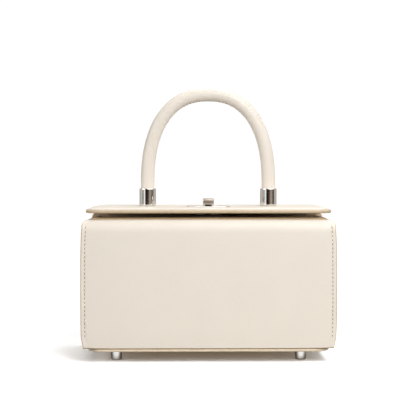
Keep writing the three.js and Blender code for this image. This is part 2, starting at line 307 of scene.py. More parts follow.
def leather_material(name, colour):
    """Smooth calf leather: cloudy tone, fine pebbling, faint creases, and painted shade, darker and warmer,
    in crevices and under neighbouring parts.
    """
    material, n, place = new_material(name)
    cloud = n.noise(place, scale=28, detail=3)
    tone = n.ramp(cloud, [(0.25, shade(colour, 0.982)), (0.75, shade(colour, 1.01))])
    mottle = n.noise(place, scale=420, detail=4)
    fleck = n.ramp(mottle, [(0.3, (0.986, 0.984, 0.98)), (0.7, WHITE)])
    # Painted shade: ambient occlusion darkens and warms the colour where neighbouring surfaces are close.
    occlusion = n.add("ShaderNodeAmbientOcclusion", {"samples": 6}, Distance=0.004).outputs["AO"]
    painted_crevice_shade = n.ramp(occlusion, [(0.25, (0.80, 0.70, 0.58)), (0.75, WHITE)])
    mixed = n.mix(1, n.mix(1, tone, fleck, "MULTIPLY"), painted_crevice_shade, "MULTIPLY")
    pebble = n.add("ShaderNodeTexVoronoi", {"feature": "SMOOTH_F1"}, Vector=place, Scale=1150.0)
    pore = n.noise(place, scale=2600, detail=3, roughness=0.6)
    crease = n.noise(place, scale=190, detail=5, roughness=0.62)
    fine = n.math("MULTIPLY", pebble.outputs["Distance"], 0.55)
    height = n.math("ADD", fine, n.math("MULTIPLY", pore, 0.35))
    height = n.math("ADD", height, n.math("MULTIPLY", crease, 0.8))
    bump = n.bump(height, strength=0.35, distance=0.00022)
    n.surface(mixed, bump, n.spread(mottle, LEATHER_ROUGHNESS), Specular_IOR_Level=0.45)
    return material


def edge_paint_material(name, colour, lit_top_colour=None, roughness=(0.3, 0.46)):
    """Painted cut edge: a little glossier than the leather, with the faint unevenness of a brushed coat.
    The optional colour after it is what the edge turns to where it faces upwards, darker than the leather and
    lighter than the edge paint: partly the paint thinning into the leather, partly painted light on the top
    of the edge."""
    material, n, place = new_material(name)
    wave = n.noise(place, scale=260, detail=3)
    tone = n.ramp(wave, [(0.3, shade(colour, 0.92)), (0.7, shade(colour, 1.05))])
    # Painted light: where the edge faces upwards its colour turns lighter, partly also the paint thinning
    # into the leather.
    if lit_top_colour:
        facing = n.add("ShaderNodeNewGeometry").outputs["Normal"]
        upward = n.add("ShaderNodeSeparateXYZ", Vector=facing).outputs["Z"]
        lit_top_share = n.ramp(upward, [(LIT_TOP_FADE[0], BLACK), (LIT_TOP_FADE[1], WHITE)])
        tone = n.mix(lit_top_share, tone, (*lit_top_colour, 1))
    bump = n.bump(n.noise(place, scale=900, detail=3), strength=0.4, distance=0.00012)
    n.surface(tone, bump, n.spread(wave, roughness), Specular_IOR_Level=0.5)
    return material


def suede_material(name, colour):
    """The inner side of the walls: a short soft nap."""
    material, n, place = new_material(name)
    nap = n.noise(place, scale=1600, detail=5, roughness=0.7)
    tone = n.ramp(nap, [(0.3, shade(colour, 0.85)), (0.7, shade(colour, 1.1))])
    n.surface(tone, n.bump(nap, strength=0.6, distance=0.0003), SUEDE_ROUGHNESS, Sheen_Weight=0.25)
    return material


def thread_material(name, colour):
    """Waxed linen thread with a fine twist."""
    material, n, place = new_material(name)
    wave = n.add("ShaderNodeTexWave", {"bands_direction": "DIAGONAL"}, Vector=place, Scale=900.0)
    twist = wave.outputs["Fac"]
    tone = n.ramp(twist, [(0.1, shade(colour, 0.86)), (0.8, colour)])
    n.surface(tone, n.bump(twist, strength=0.5, distance=0.0001), THREAD_ROUGHNESS)
    return material


def metal_material(name, colour, roughness=(0.05, 0.12)):
    """Polished plated metal with faint wiping marks."""
    material, n, place = new_material(name)
    smudge = n.noise(place, scale=120, detail=4)
    tone = n.ramp(smudge, [(0.3, shade(colour, 0.96)), (0.7, colour)])
    stretched = n.add("ShaderNodeMapping", Vector=place, Scale=(1, 1, 0.08)).outputs[0]
    scratch = n.noise(stretched, scale=2600, detail=4, roughness=0.7)
    bump = n.bump(scratch, strength=0.08, distance=0.00003)
    n.surface(tone, bump, n.spread(smudge, roughness), Metallic=1)
    return material


LEATHER_COLOUR = (0.815, 0.75, 0.66)
# The handle's leather, a darker copy of the cream leather: painted shade that tones down the light on the
# handle.
HANDLE_SHADED_COLOUR = (0.755, 0.69, 0.61)
EDGE_COLOUR = (0.60, 0.47, 0.31)
LID_EDGE_COLOUR = (0.56, 0.43, 0.275)
# Lighter top of the lid's edge: partly the paint thinning into the leather, partly painted light from above.
LID_EDGE_LIT_TOP_COLOUR = (0.60, 0.53, 0.44)
# The base's edge paint, lighter than the other edges: painted light where the frontal light falls on the band
# under the front panel.
BASE_EDGE_LIT_COLOUR = (0.74, 0.62, 0.46)
FACING_EDGE_COLOUR = (0.47, 0.31, 0.15)
TAN_COLOUR = (0.52, 0.38, 0.25)
THREAD_COLOUR = (0.93, 0.87, 0.77)
# Needle holes: a dark colour painted where there is only the shade inside each hole.
HOLE_SHADE_COLOUR = (0.16, 0.11, 0.07)
METAL_COLOUR = (0.80, 0.79, 0.77)
# The plate's metal, a darker copy of the polished metal: painted shade that dims its reflections.
PLATE_SHADED_COLOUR = (0.6, 0.59, 0.575)
# The knob's metal, a darker and browner copy of the polished metal: painted shade and reflection.
KNOB_SHADED_COLOUR = (0.45, 0.40, 0.34)
# The lock base's near-black metal: painted shade, so that the gap under the lid looks dark.
LOCK_BASE_SHADE_COLOUR = (0.08, 0.064, 0.048)

LEATHER = leather_material("cream_leather", LEATHER_COLOUR)
HANDLE_SHADED_LEATHER = leather_material("handle_shaded_cream_leather", HANDLE_SHADED_COLOUR)
EDGE = edge_paint_material("edge_paint", EDGE_COLOUR)
LID_EDGE = edge_paint_material("lid_edge_paint", LID_EDGE_COLOUR, LID_EDGE_LIT_TOP_COLOUR, (0.55, 0.7))
LIT_BASE_EDGE = edge_paint_material("base_edge_lit_paint", BASE_EDGE_LIT_COLOUR)
FACING_EDGE = edge_paint_material("facing_edge_paint", FACING_EDGE_COLOUR)
SUEDE = suede_material("inner_suede", TAN_COLOUR)
TAN = leather_material("tan_leather", TAN_COLOUR)
THREAD = thread_material("thread", THREAD_COLOUR)
# Painted shade: the needle holes take a near-black copy of the suede.
HOLE_SHADE = suede_material("stitch_hole_painted_shade", HOLE_SHADE_COLOUR)
METAL = metal_material("polished_metal", METAL_COLOUR)
KNOB_SHADED_METAL = metal_material("knob_metal", KNOB_SHADED_COLOUR, (0.2, 0.28))
PLATE_SHADED_METAL = metal_material("plate_metal", PLATE_SHADED_COLOUR, (0.3, 0.38))
FOOT_METAL = metal_material("foot_metal", METAL_COLOUR, (0.12, 0.2))
LOCK_BASE_SHADE_METAL = metal_material("lock_base_metal", LOCK_BASE_SHADE_COLOUR, (0.3, 0.4))
SHEET_LOOKS = [LEATHER, EDGE, SUEDE]


# Mesh helpers

class MeshParts:
    """Vertices in millimetres and faces of one piece, gathered from several parts."""

    def __init__(self):
        self.points = []
        self.faces = []
        self.looks = []
        self.count = 0

    def add(self, points, faces, look=0):
        points = np.asarray(points, dtype=float).reshape(-1, 3)
        self.points.append(points)
        self.faces.extend([tuple(i + self.count for i in face) for face in faces])
        self.looks.extend([look] * len(faces) if isinstance(look, int) else list(look))
        self.count += len(points)

    def build(self, name, materials):
        mesh = bpy.data.meshes.new(name)
        mesh.from_pydata((np.concatenate(self.points) * MM).tolist(), [], self.faces)
        for material in materials:
            mesh.materials.append(material)
        mesh.polygons.foreach_set("material_index", self.looks)
        mesh.polygons.foreach_set("use_smooth", [True] * len(self.faces))
        mesh.validate()
        mesh.update()
        obj = bpy.data.objects.new(name, mesh)
        bpy.context.scene.collection.objects.link(obj)
        return obj


def dress(obj, body, slot, *nodes):
    """Puts a piece on its body, in place of the CAD nodes that it shows. slot is not used."""
    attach(obj, body)
    if nodes:
        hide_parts(*nodes)


def grid_faces(rows, columns, start=0, flip=False):
    faces = []
    for i in range(rows - 1):
        for j in range(columns - 1):
            a = start + i * columns + j
            quad = (a, a + 1, a + columns + 1, a + columns)
            faces.append(quad[::-1] if flip else quad)
    return faces


def ring_faces(first, second, flip=False):
    """Quads between two closed loops of vertex numbers."""
    faces = []
    size = len(first)
    for i in range(size):
        j = (i + 1) % size
        quad = (first[i], first[j], second[j], second[i])
        faces.append(quad[::-1] if flip else quad)
    return faces


def tube_faces(count, sides, flip=False):
    """Faces of a tube of count rings, with a cap on each end."""
    faces = []
    for k in range(count - 1):
        first = list(range(k * sides, (k + 1) * sides))
        faces += ring_faces(first, [i + sides for i in first], flip)
    caps = [tuple(range(sides))[::-1], tuple(range((count - 1) * sides, count * sides))]
    return faces + [cap[::-1] if flip else cap for cap in caps]


def around(sides):
    """Cosines and sines of evenly spaced directions."""
    return [(math.cos(a), math.sin(a)) for a in np.linspace(0, 2 * math.pi, sides, endpoint=False)]


def edge_rings(rounding, *inner):
    """Distances from a rounded rim, dense on its rounding, and then those given."""
    return [rounding * share for share in EDGE_STEPS] + list(inner)


def edge_drop(depth, rounding):
    """How far a rounded edge falls below the flat at a distance from the rim."""
    inside = np.clip(rounding - depth, 0, rounding)
    return rounding - np.sqrt(np.maximum(rounding ** 2 - inside ** 2, 0))


def add_sheet(parts, surface, normal, depth, thickness, rounding, relief=0.0, under=0.0):
    """A leather sheet with rounded, painted edges. surface is a grid of points on the grain side, normal
    its outward direction, depth each point's distance from the nearest cut edge."""
    rows, columns = depth.shape
    drop = edge_drop(depth, rounding)
    thickness = np.broadcast_to(thickness, depth.shape)
    top = surface + normal * (relief - drop)[..., None]
    bottom = surface - normal * (thickness - drop + under)[..., None]
    rim = [(0, j) for j in range(columns)]
    rim += [(i, columns - 1) for i in range(1, rows)]
    rim += [(rows - 1, j) for j in range(columns - 2, -1, -1)]
    rim += [(i, 0) for i in range(rows - 2, 0, -1)]
    middle = []
    for i, j in rim:
        inner_i = min(max(i, 1), rows - 2)
        inner_j = min(max(j, 1), columns - 2)
        outward = surface[i, j] - surface[inner_i, inner_j]
        outward = outward / max(np.linalg.norm(outward), 1e-9)
        middle.append((top[i, j] + bottom[i, j]) / 2 + outward * EDGE_BULGE)
    size = rows * columns
    top_loop = [i * columns + j for i, j in rim]
    bottom_loop = [size + k for k in top_loop]
    middle_loop = list(range(2 * size, 2 * size + len(rim)))
    faces = grid_faces(rows, columns)
    flat = depth.ravel()
    looks = [1 if max(flat[k] for k in face) <= rounding * PAINT_REACH else 0 for face in faces]
    faces += grid_faces(rows, columns, size, True)
    looks += [1 if max(flat[k - size] for k in face) <= rounding else 2 for face in faces[len(looks):]]
    rim_faces = ring_faces(top_loop, middle_loop, True) + ring_faces(middle_loop, bottom_loop, True)
    faces += rim_faces
    looks += [1] * len(rim_faces)
    parts.add(np.concatenate([top.reshape(-1, 3), bottom.reshape(-1, 3), np.array(middle)]), faces, looks)


def spaced(start, end, spacing):
    """Values from start to end, both included, no further apart than spacing."""
    count = max(1, math.ceil(abs(end - start) / spacing))
    return np.linspace(start, end, count + 1)


def edge_values(rounding, seam=None, reach=ROW_REACH):
    """Distances from a cut edge at which a sheet needs a row of points."""
    values = edge_rings(rounding, rounding + EDGE_MARGIN)
    if seam is not None:
        values += [seam + step * GROOVE_WIDTH for step in SEAM_STEPS]
    return values + list(spaced(values[-1] + ROW_START, reach, ROW_SPACING))


# Outline of the front and back panels

def side_table():
    """The side edge as a dense list of height shares and pull-ins, on a Catmull-Rom curve."""
    rows = np.array(SIDE_EDGE)
    padded = np.vstack([rows[0], rows, rows[-1]])
    samples = []
    for k in range(1, len(padded) - 2):
        p0, p1, p2, p3 = padded[k - 1:k + 3]
        for t in np.linspace(0, 1, SIDE_CURVE_STEPS, endpoint=False):
            v0 = (p2 - p0) / 2
            v1 = (p3 - p1) / 2
            samples.append(
                (2 * p1 - 2 * p2 + v0 + v1) * t ** 3 + (-3 * p1 + 3 * p2 - 2 * v0 - v1) * t ** 2 + v0 * t + p1
            )
    samples.append(rows[-1])
    return np.array(samples)


SIDE_TABLE = side_table()


def half_width(z, top):
    """Half the width of a panel at a height, for a panel that ends at top."""
    z = np.asarray(z, dtype=float)
    corner_start = top - TOP_CORNER_DOWN
    share = np.clip((z - PANEL_BOTTOM) / (corner_start - PANEL_BOTTOM), 0, 1)
    side = HALF_WIDTH - SIDE_PULL_IN * np.interp(share, SIDE_TABLE[:, 0], SIDE_TABLE[:, 1])
    climb = np.clip((z - corner_start) / TOP_CORNER_DOWN, 0, 1)
    return side - TOP_CORNER_IN * (1 - np.sqrt(1 - climb)) ** 2


# The front panel's run: up the face, round the shoulder and back along the shelf
FACE_LENGTH = SHELF_TOP - SHOULDER_HEIGHT - PANEL_BOTTOM
SHELF_LENGTH = SHELF_BACK - FRONT_Y - SHOULDER_DEPTH


def bend_table():
    """Lengths along the shoulder's quarter ellipse and the angles that they belong to."""
    angles = np.linspace(0, math.pi / 2, BEND_SAMPLES)
    steps = np.hypot(
        np.diff(SHOULDER_DEPTH * np.cos(angles)),
        np.diff(SHOULDER_HEIGHT * np.sin(angles)),
    )
    return np.concatenate([[0], np.cumsum(steps)]), angles


BEND_LENGTHS, BEND_ANGLES = bend_table()
BEND_LENGTH = BEND_LENGTHS[-1]
RUN_LENGTH = FACE_LENGTH + BEND_LENGTH + SHELF_LENGTH


def run_point(s, inset=0.0):
    """Depth, height and outward direction of the front panel's run, at inset below its outer side."""
    if s <= FACE_LENGTH:
        return FRONT_Y + inset, PANEL_BOTTOM + s, -1.0, 0.0
    if s <= FACE_LENGTH + BEND_LENGTH:
        angle = float(np.interp(s - FACE_LENGTH, BEND_LENGTHS, BEND_ANGLES))
        y = FRONT_Y + SHOULDER_DEPTH - (SHOULDER_DEPTH - inset) * math.cos(angle)
        z = SHELF_TOP - SHOULDER_HEIGHT + (SHOULDER_HEIGHT - inset) * math.sin(angle)
        out_y = -math.cos(angle) * (SHOULDER_HEIGHT - inset)
        out_z = math.sin(angle) * (SHOULDER_DEPTH - inset)
        length = math.hypot(out_y, out_z)
        return y, z, out_y / length, out_z / length
    return FRONT_Y + SHOULDER_DEPTH + s - FACE_LENGTH - BEND_LENGTH, SHELF_TOP - inset, 0.0, 1.0


def groove(distance):
    """Depth of the pressed line that the stitches lie in."""
    return -GROOVE_DEPTH * np.exp(-((distance - STITCH_INSET) / GROOVE_WIDTH) ** 2)


def puff(distance):
    """The leather swells slightly between its seams."""
    inside = np.clip(distance - STITCH_INSET, 0, None)
    return PUFF_RISE * (1 - np.exp(-inside / PUFF_REACH))


def corner_lift(x):
    """The lower edge of a panel rises a little towards its corners."""
    share = np.clip((abs(x) - CORNER_LIFT_START) / (HALF_WIDTH - CORNER_LIFT_START), 0, 1)
    return CORNER_LIFT * share ** 2


def panel_columns(rounding):
    """Distances from the left or right edge, and shares of the width between them."""
    edge = edge_values(rounding, STITCH_INSET)
    return edge, np.linspace(0, 1, PANEL_COLUMNS)[1:-1]


def cross_row(half, edge, middle):
    """Widths of one row of a panel, dense near both side edges."""
    left = [-half + d for d in edge]
    between = [(-1 + 2 * m) * (half - edge[-1]) for m in middle]
    right = [half - d for d in reversed(edge)]
    return np.array(left + between + right)


def panel_grid(stations, top, place, end_distance, rounding):
    """Surface, normals, edge depth and side distance of a panel, row by row."""
    edge, middle = panel_columns(rounding)
    surface, normal, depth, side = [], [], [], []
    for s in stations:
        y, z, out_y, out_z = place(s)
        half = float(half_width(z, top))
        xs = cross_row(half, edge, middle)
        lift = corner_lift(xs) * max(0.0, 1 - (z - PANEL_BOTTOM) / CORNER_LIFT_HEIGHT) ** 2
        surface.append(np.column_stack([xs, np.full_like(xs, y), z + lift]))
        normal.append(np.tile([0, out_y, out_z], (len(xs), 1)))
        distance = half - np.abs(xs)
        side.append(distance)
        depth.append(np.minimum(distance, end_distance(s)))
    return np.array(surface), np.array(normal), np.array(depth), np.array(side)


def stations_between(length, rounding, marks=()):
    """Stations along a sheet, dense at both ends and round its bends."""
    ends = edge_rings(rounding, rounding + EDGE_MARGIN, rounding + 2)
    values = set(ends) | {length - v for v in ends}
    points = [ends[-1], *marks, length - ends[-1]]
    for start, end, spacing in zip(points[:-1], points[1:], STATION_SPACINGS):
        values |= set(spaced(start, end, spacing).tolist())
    return sorted(values)


def make_front_panel():
    marks = (FACE_LENGTH, FACE_LENGTH + BEND_LENGTH)
    stations = stations_between(RUN_LENGTH, PANEL_ROUNDING, marks)
    surface, normal, depth, side = panel_grid(
        stations, SHELF_TOP, run_point, lambda s: min(s, RUN_LENGTH - s), PANEL_ROUNDING
    )
    run = np.array(stations)[:, None]
    seam_share = np.clip((FACE_LENGTH + BEND_LENGTH * SEAM_BEND_SHARE - run) / SEAM_FADE, 0, 1)
    relief = groove(side) * seam_share + puff(side) * np.clip(run / PUFF_FADE, 0, 1)
    parts = MeshParts()
    add_sheet(parts, surface, normal, depth, PANEL_LEATHER, PANEL_ROUNDING, relief)
    dress(parts.build("front_panel_leather", SHEET_LOOKS), "bag", "cream_leather", "front_panel")


# The facing on the shelf, whose painted edge shows as a tan line in the gap under the lid
FACING_HALF_WIDTH = 98.5
FACING_FRONT = FRONT_Y + SHOULDER_DEPTH - 0.6
FACING_DEPTH = 17
FACING_THICKNESS = 1.55
FACING_CORNER = 3
FACING_ROUNDING = 0.5
FACING_GAP = 0.1
BACK_MARKS = (14, 5)


def make_shelf_facing():
    low = SHELF_TOP + FACING_GAP
    parts = board(
        (2 * FACING_HALF_WIDTH, FACING_DEPTH), FACING_CORNER,
        edge_rings(FACING_ROUNDING, 1.0, 2.0, 2.6),
        rounded_top(low + FACING_THICKNESS, FACING_ROUNDING), level(low),
        steps=6, looks=(0, 1, 0), paint=FACING_ROUNDING, y=FACING_FRONT + FACING_DEPTH / 2,
    )
    dress(parts.build("shelf_facing_leather", [LEATHER, FACING_EDGE]), "bag", "cream_leather")


def back_point(s):
    return BACK_Y, PANEL_BOTTOM + s, 1.0, 0.0


def make_back_panel():
    height = BACK_TOP - PANEL_BOTTOM
    stations = stations_between(height, PANEL_ROUNDING, [height - mark for mark in BACK_MARKS])
    surface, normal, depth, side = panel_grid(
        stations, BACK_TOP, back_point, lambda s: min(s, height - s), PANEL_ROUNDING
    )
    surface, depth, side = (grid[:, ::-1] for grid in (surface, depth, side))
    run = np.array(stations)[:, None]
    fade = np.clip(run / PUFF_FADE, 0, 1) * np.clip((height - run) / PUFF_FADE, 0, 1)
    relief = groove(side) + puff(side) * fade
    parts = MeshParts()
    add_sheet(parts, surface, normal, depth, PANEL_LEATHER, PANEL_ROUNDING, relief)
    dress(parts.build("back_panel_leather", SHEET_LOOKS), "bag", "cream_leather", "back_panel")


# Boards: flat pieces with an outline of their own

def rounded_rectangle(width, height, radius, steps):
    """Corner centres, and unit directions from them, of a rounded rectangle, counter-clockwise."""
    centres, directions = [], []
    for k, (sx, sy) in enumerate([(1, 1), (-1, 1), (-1, -1), (1, -1)]):
        for angle in np.linspace(k * math.pi / 2, (k + 1) * math.pi / 2, steps + 1):
            centres.append((sx * (width / 2 - radius), sy * (height / 2 - radius)))
            directions.append((math.cos(angle), math.sin(angle)))
    return np.array(centres), np.array(directions)


def level(height):
    return lambda d: height


def rounded_top(high, rounding):
    """Height of a board's upper side at a distance from its rim."""
    return lambda d: high - float(edge_drop(d, rounding))


def rounded_bottom(low, rounding):
    return lambda d: low + float(edge_drop(d, rounding))


def board(plan, radius, rings, top, bottom, steps, looks=(0, 1, 2), paint=1.0, y=0.0):
    """A board between the heights top(d) and bottom(d) over a plan of width and depth round (0, y),
    d being the distance from the rim. looks are the materials of its top, edge and underside, and
    paint is how far the edge's material reaches inwards."""
    centres, directions = rounded_rectangle(*plan, radius, steps)
    size = len(centres)
    count = len(rings)
    points, loops = [], []

    def add_loop(offset, height):
        loops.append(list(range(len(points), len(points) + size)))
        points.extend((px, py + y, height) for px, py in centres + directions * offset)

    for d in rings:
        add_loop(radius - d, top(d))
    for d in rings[::-1]:
        add_loop(radius - d, bottom(d))
    add_loop(radius + EDGE_BULGE, (top(0) + bottom(0)) / 2)
    middle = loops.pop()
    faces, face_looks = [], []
    for k in range(count - 1):
        faces += ring_faces(loops[k], loops[k + 1])
        face_looks += [looks[1] if rings[k + 1] <= paint else looks[0]] * size
    faces.append(tuple(loops[count - 1]))
    face_looks.append(looks[0])
    faces += ring_faces(middle, loops[0]) + ring_faces(loops[-1], middle)
    face_looks += [looks[1]] * (2 * size)
    for k in range(count, 2 * count - 1):
        faces += ring_faces(loops[k], loops[k + 1])
        face_looks += [looks[1] if rings[2 * count - 1 - k] <= paint else looks[2]] * size
    faces.append(tuple(loops[count][::-1]))
    face_looks.append(looks[2])
    parts = MeshParts()
    parts.add(points, faces, face_looks)
    return parts


def lid_fall(d):
    return LID_DROOP * max(0.0, 1 - d / LID_DROOP_WIDTH) ** 2


def crease(d):
    return -CREASE_DEPTH * math.exp(-((d - CREASE_INSET) / CREASE_WIDTH) ** 2)


def cut(target, cutter_parts, name):
    """Takes a closed shape out of a piece. The edges that it cuts are shaded sharp."""
    cutter = cutter_parts.build(name, [])
    modifier = target.modifiers.new("cut", "BOOLEAN")
    modifier.operation = "DIFFERENCE"
    modifier.solver = "EXACT"
    modifier.object = cutter
    depsgraph = bpy.context.evaluated_depsgraph_get()
    mesh = bpy.data.meshes.new_from_object(target.evaluated_get(depsgraph))
    target.modifiers.clear()
    mesh.set_sharp_from_angle(angle=CUT_SHARP_ANGLE)
    target.data = mesh
    bpy.data.objects.remove(cutter)


def make_lid():
    rings = edge_rings(LID_ROUNDING, 1.8, 2.1)
    rings += [CREASE_INSET + step * CREASE_WIDTH for step in SEAM_STEPS]
    rings += [5.5, 7.5, 9.5, 11.5, 13.2, 14.0, 14.4]

    def top(d):
        return LID_TOP - lid_fall(d) - float(edge_drop(d, LID_ROUNDING)) + crease(d)

    def bottom(d):
        return LID_TOP - LID_THICKNESS - lid_fall(d) + float(edge_drop(d, LID_ROUNDING))

    parts = board((LID_HIGH - LID_LOW)[:2], LID_CORNER, rings, top, bottom, steps=16, paint=LID_PAINT_REACH)
    piece = parts.build("lid_leather", [LEATHER, LID_EDGE, SUEDE])
    gap = SLOT_CLEARANCE + SEAT_GAP
    slot = board(
        (KNOB_LENGTH + 2 * gap, KNOB_WIDTH + 2 * gap), KNOB_CORNER + gap, [0, 0.01],
        level(LID_TOP + 1), level(LID_TOP - 2 * LID_THICKNESS), steps=6, y=LOCK_Y,
    )
    cut(piece, slot, "lid_slot")
    dress(piece, "bag", "cream_leather", "lid")


def make_base():
    parts = board(
        (BASE_HIGH - BASE_LOW)[:2], BASE_CORNER, edge_rings(BASE_ROUNDING, 1.3, 4, 9, 12, 12.6),
        rounded_top(BASE_HIGH[2], BASE_ROUNDING), rounded_bottom(BASE_LOW[2], BASE_ROUNDING),
        steps=14, looks=(2, 1, 0), paint=BASE_ROUNDING,
    )
    dress(parts.build("base_leather", [LEATHER, LIT_BASE_EDGE, SUEDE]), "bag", "cream_leather", "base_panel")


# Gussets

GUSSET_OUTER = HALF_WIDTH - FLANGE_WIDTH
GUSSET_INNER = GUSSET_OUTER - GUSSET_LEATHER
FLANGE_INSET = PANEL_LEATHER + SEAT_GAP
FLANGE_FILLET = 1.6
FLANGE_ROUNDING = 0.6
FLANGE_ROOT = 1.2
FLANGE_LEAST = 4.0
WALL_ROUNDING = 0.6
WALL_MARGIN = 0.4
WALL_SPACING = 8
WALL_BEND_STEPS = 16
FRONT_FLANGE_BEND_SHARE = 0.86
FRONT_FLANGE_MARK = 3
BACK_FLANGE_CORNER_SHARE = 0.5
BACK_FLANGE_MARKS = (12, 4)


def gusset_outline():
    """The end wall seen from the side, as corner points with the shoulder's arc."""
    low = FRONT_Y + FLANGE_INSET
    high = BACK_Y - FLANGE_INSET
    centre_y = FRONT_Y + SHOULDER_DEPTH
    centre_z = SHELF_TOP - SHOULDER_HEIGHT
    reach = SHOULDER_DEPTH - FLANGE_INSET
    rise = SHOULDER_HEIGHT - FLANGE_INSET
    step_y = SHELF_BACK + SEAT_GAP
    points = [(y, PANEL_BOTTOM) for y in spaced(low, high, WALL_SPACING)]
    points += [(high, z) for z in spaced(PANEL_BOTTOM, SHELF_TOP, WALL_SPACING)[1:]]
    points += [(y, SHELF_TOP) for y in spaced(high, step_y, WALL_SPACING)[1:]]
    points += [(step_y, centre_z + rise)]
    points += [(y, centre_z + rise) for y in spaced(step_y, centre_y, WALL_SPACING)[1:]]
    points += [
        (centre_y + reach * math.cos(a), centre_z + rise * math.sin(a))
        for a in np.linspace(math.pi / 2, math.pi, WALL_BEND_STEPS)[1:]
    ]
    points += [(low, z) for z in spaced(centre_z, PANEL_BOTTOM, WALL_SPACING)[1:-1]]
    return np.array(points)


def inward_directions(outline):
    """Unit directions into a counter-clockwise outline, at its corners along the bisector."""
    before = outline - np.roll(outline, 1, axis=0)
    after = np.roll(outline, -1, axis=0) - outline
    before /= np.linalg.norm(before, axis=1)[:, None]
    after /= np.linalg.norm(after, axis=1)[:, None]
    first = np.column_stack([-before[:, 1], before[:, 0]])
    second = np.column_stack([-after[:, 1], after[:, 0]])
    middle = first + second
    return middle / np.sum(middle * first, axis=1)[:, None]


def add_wall(parts, side):
    """The flat end wall, with rounded edges. side is 1 on the right and -1 on the left."""
    outline = gusset_outline()
    inward = inward_directions(outline)
    rings = edge_rings(WALL_ROUNDING, WALL_ROUNDING + WALL_MARGIN)
    size = len(outline)
    points, loops = [], []
    for face_x, inwards, order in ((GUSSET_OUTER, -1, rings), (GUSSET_INNER, 1, rings[::-1])):
        for d in order:
            x = face_x + inwards * float(edge_drop(d, WALL_ROUNDING))
            loops.append(list(range(len(points), len(points) + size)))
            points.extend((side * x, y, z) for y, z in outline + inward * d)
    flip = side < 0
    count = len(rings)
    faces, looks = [], []
    for k in range(2 * count - 1):
        if k == count - 1:
            continue
        faces += ring_faces(loops[k], loops[k + 1], flip)
        looks += [1 if min(k + 1, 2 * count - 1 - k) < count - 1 else 0] * size
    faces += ring_faces(loops[-1], loops[0], flip)
    looks += [1] * size + [0, 2]
    turn = -1 if flip else 1
    faces += [tuple(loops[count - 1][::turn]), tuple(loops[count][::-turn])]
    parts.add(points, faces, looks)


def flange_columns(half):
    """Widths across a flange, from inside the end wall to its cut edge."""
    root = [GUSSET_OUTER - FLANGE_ROOT, GUSSET_OUTER]
    fillet = [GUSSET_OUTER + FLANGE_FILLET * share for share in EDGE_STEPS[1:]]
    seam = [half - STITCH_INSET + step * GROOVE_WIDTH for step in SEAM_STEPS[1:-1]]
    tip = [half - FLANGE_ROUNDING * share for share in reversed(EDGE_STEPS)]
    return np.array(root + fillet + seam + tip)


def add_flange(parts, side, stations, place):
    """A flange sewn behind a panel's edge, joined to the end wall by a small fillet."""
    surface, normal, depth, thick, under = [], [], [], [], []
    for s in stations:
        y, z, out_y, out_z = place(s)
        half = float(half_width(z, SHELF_TOP)) - SEAT_GAP
        xs = flange_columns(max(half, GUSSET_OUTER + FLANGE_LEAST))
        half = xs[-1]
        surface.append(np.column_stack([side * xs, np.full_like(xs, y), np.full_like(xs, z)]))
        normal.append(np.tile([0, out_y, out_z], (len(xs), 1)))
        ends = min(s - stations[0], stations[-1] - s)
        depth.append(np.minimum(half - xs, ends))
        open_side = np.clip(FLANGE_FILLET - (xs - GUSSET_OUTER), 0, FLANGE_FILLET)
        fillet = FLANGE_FILLET - np.sqrt(FLANGE_FILLET ** 2 - open_side ** 2)
        thick.append(FLANGE_LEATHER + fillet)
        under.append(groove(half - xs))
    grids = [np.array(v) for v in (surface, normal, depth, thick, under)]
    if (side > 0) == (place is back_flange_point):
        grids = [grid[:, ::-1] for grid in grids]
    surface, normal, depth, thick, under = grids
    add_sheet(parts, surface, normal, depth, thick, FLANGE_ROUNDING, 0.0, under)


def front_flange_point(s):
    return run_point(s, FLANGE_INSET)


def back_flange_point(s):
    return BACK_Y - FLANGE_INSET, PANEL_BOTTOM + s, 1.0, 0.0


def make_gusset(side, node):
    front_length = FACE_LENGTH + BEND_LENGTH * FRONT_FLANGE_BEND_SHARE
    back_length = SHELF_TOP - TOP_CORNER_DOWN * BACK_FLANGE_CORNER_SHARE - PANEL_BOTTOM
    front_marks = (FACE_LENGTH, front_length - FRONT_FLANGE_MARK)
    back_marks = [back_length - mark for mark in BACK_FLANGE_MARKS]
    parts = MeshParts()
    add_wall(parts, side)
    add_flange(parts, side, stations_between(front_length, FLANGE_ROUNDING, front_marks), front_flange_point)
    add_flange(parts, side, stations_between(back_length, FLANGE_ROUNDING, back_marks), back_flange_point)
    dress(parts.build(f"{node}_leather", [LEATHER, EDGE, LEATHER]), "bag", "cream_leather", node)


# Hinge strip

def make_hinge():
    radius = HINGE_RADIUS
    half = HINGE_HIGH[0]
    centre_y = HINGE_HIGH[1] - radius
    centre_z = HINGE_HIGH[2] - radius
    tail = centre_z - HINGE_LOW[2]
    bend = radius * math.pi / 2
    length = tail + bend + centre_y - HINGE_LOW[1]

    def place(s):
        if s <= tail:
            return HINGE_HIGH[1], HINGE_LOW[2] + s, 1.0, 0.0
        if s <= tail + bend:
            cos, sin = math.cos((s - tail) / radius), math.sin((s - tail) / radius)
            return centre_y + radius * cos, centre_z + radius * sin, cos, sin
        return centre_y - (s - tail - bend), HINGE_HIGH[2], 0.0, 1.0

    edge = edge_values(HINGE_ROUNDING, None, HINGE_ROW_REACH)
    xs = cross_row(half, edge, np.linspace(0, 1, HINGE_COLUMNS)[1:-1])[::-1]
    surface, normal, depth = [], [], []
    for s in stations_between(length, HINGE_ROUNDING, (tail, tail + bend)):
        y, z, out_y, out_z = place(s)
        surface.append(np.column_stack([xs, np.full_like(xs, y), np.full_like(xs, z)]))
        normal.append(np.tile([0, out_y, out_z], (len(xs), 1)))
        depth.append(np.minimum(half - np.abs(xs), min(s, length - s)))
    parts = MeshParts()
    add_sheet(parts, np.array(surface), np.array(normal), np.array(depth), HINGE_LEATHER, HINGE_ROUNDING)
    dress(parts.build("hinge_strip_leather", [TAN, TAN, SUEDE]), "bag", "tan_leather", "hinge_strip")


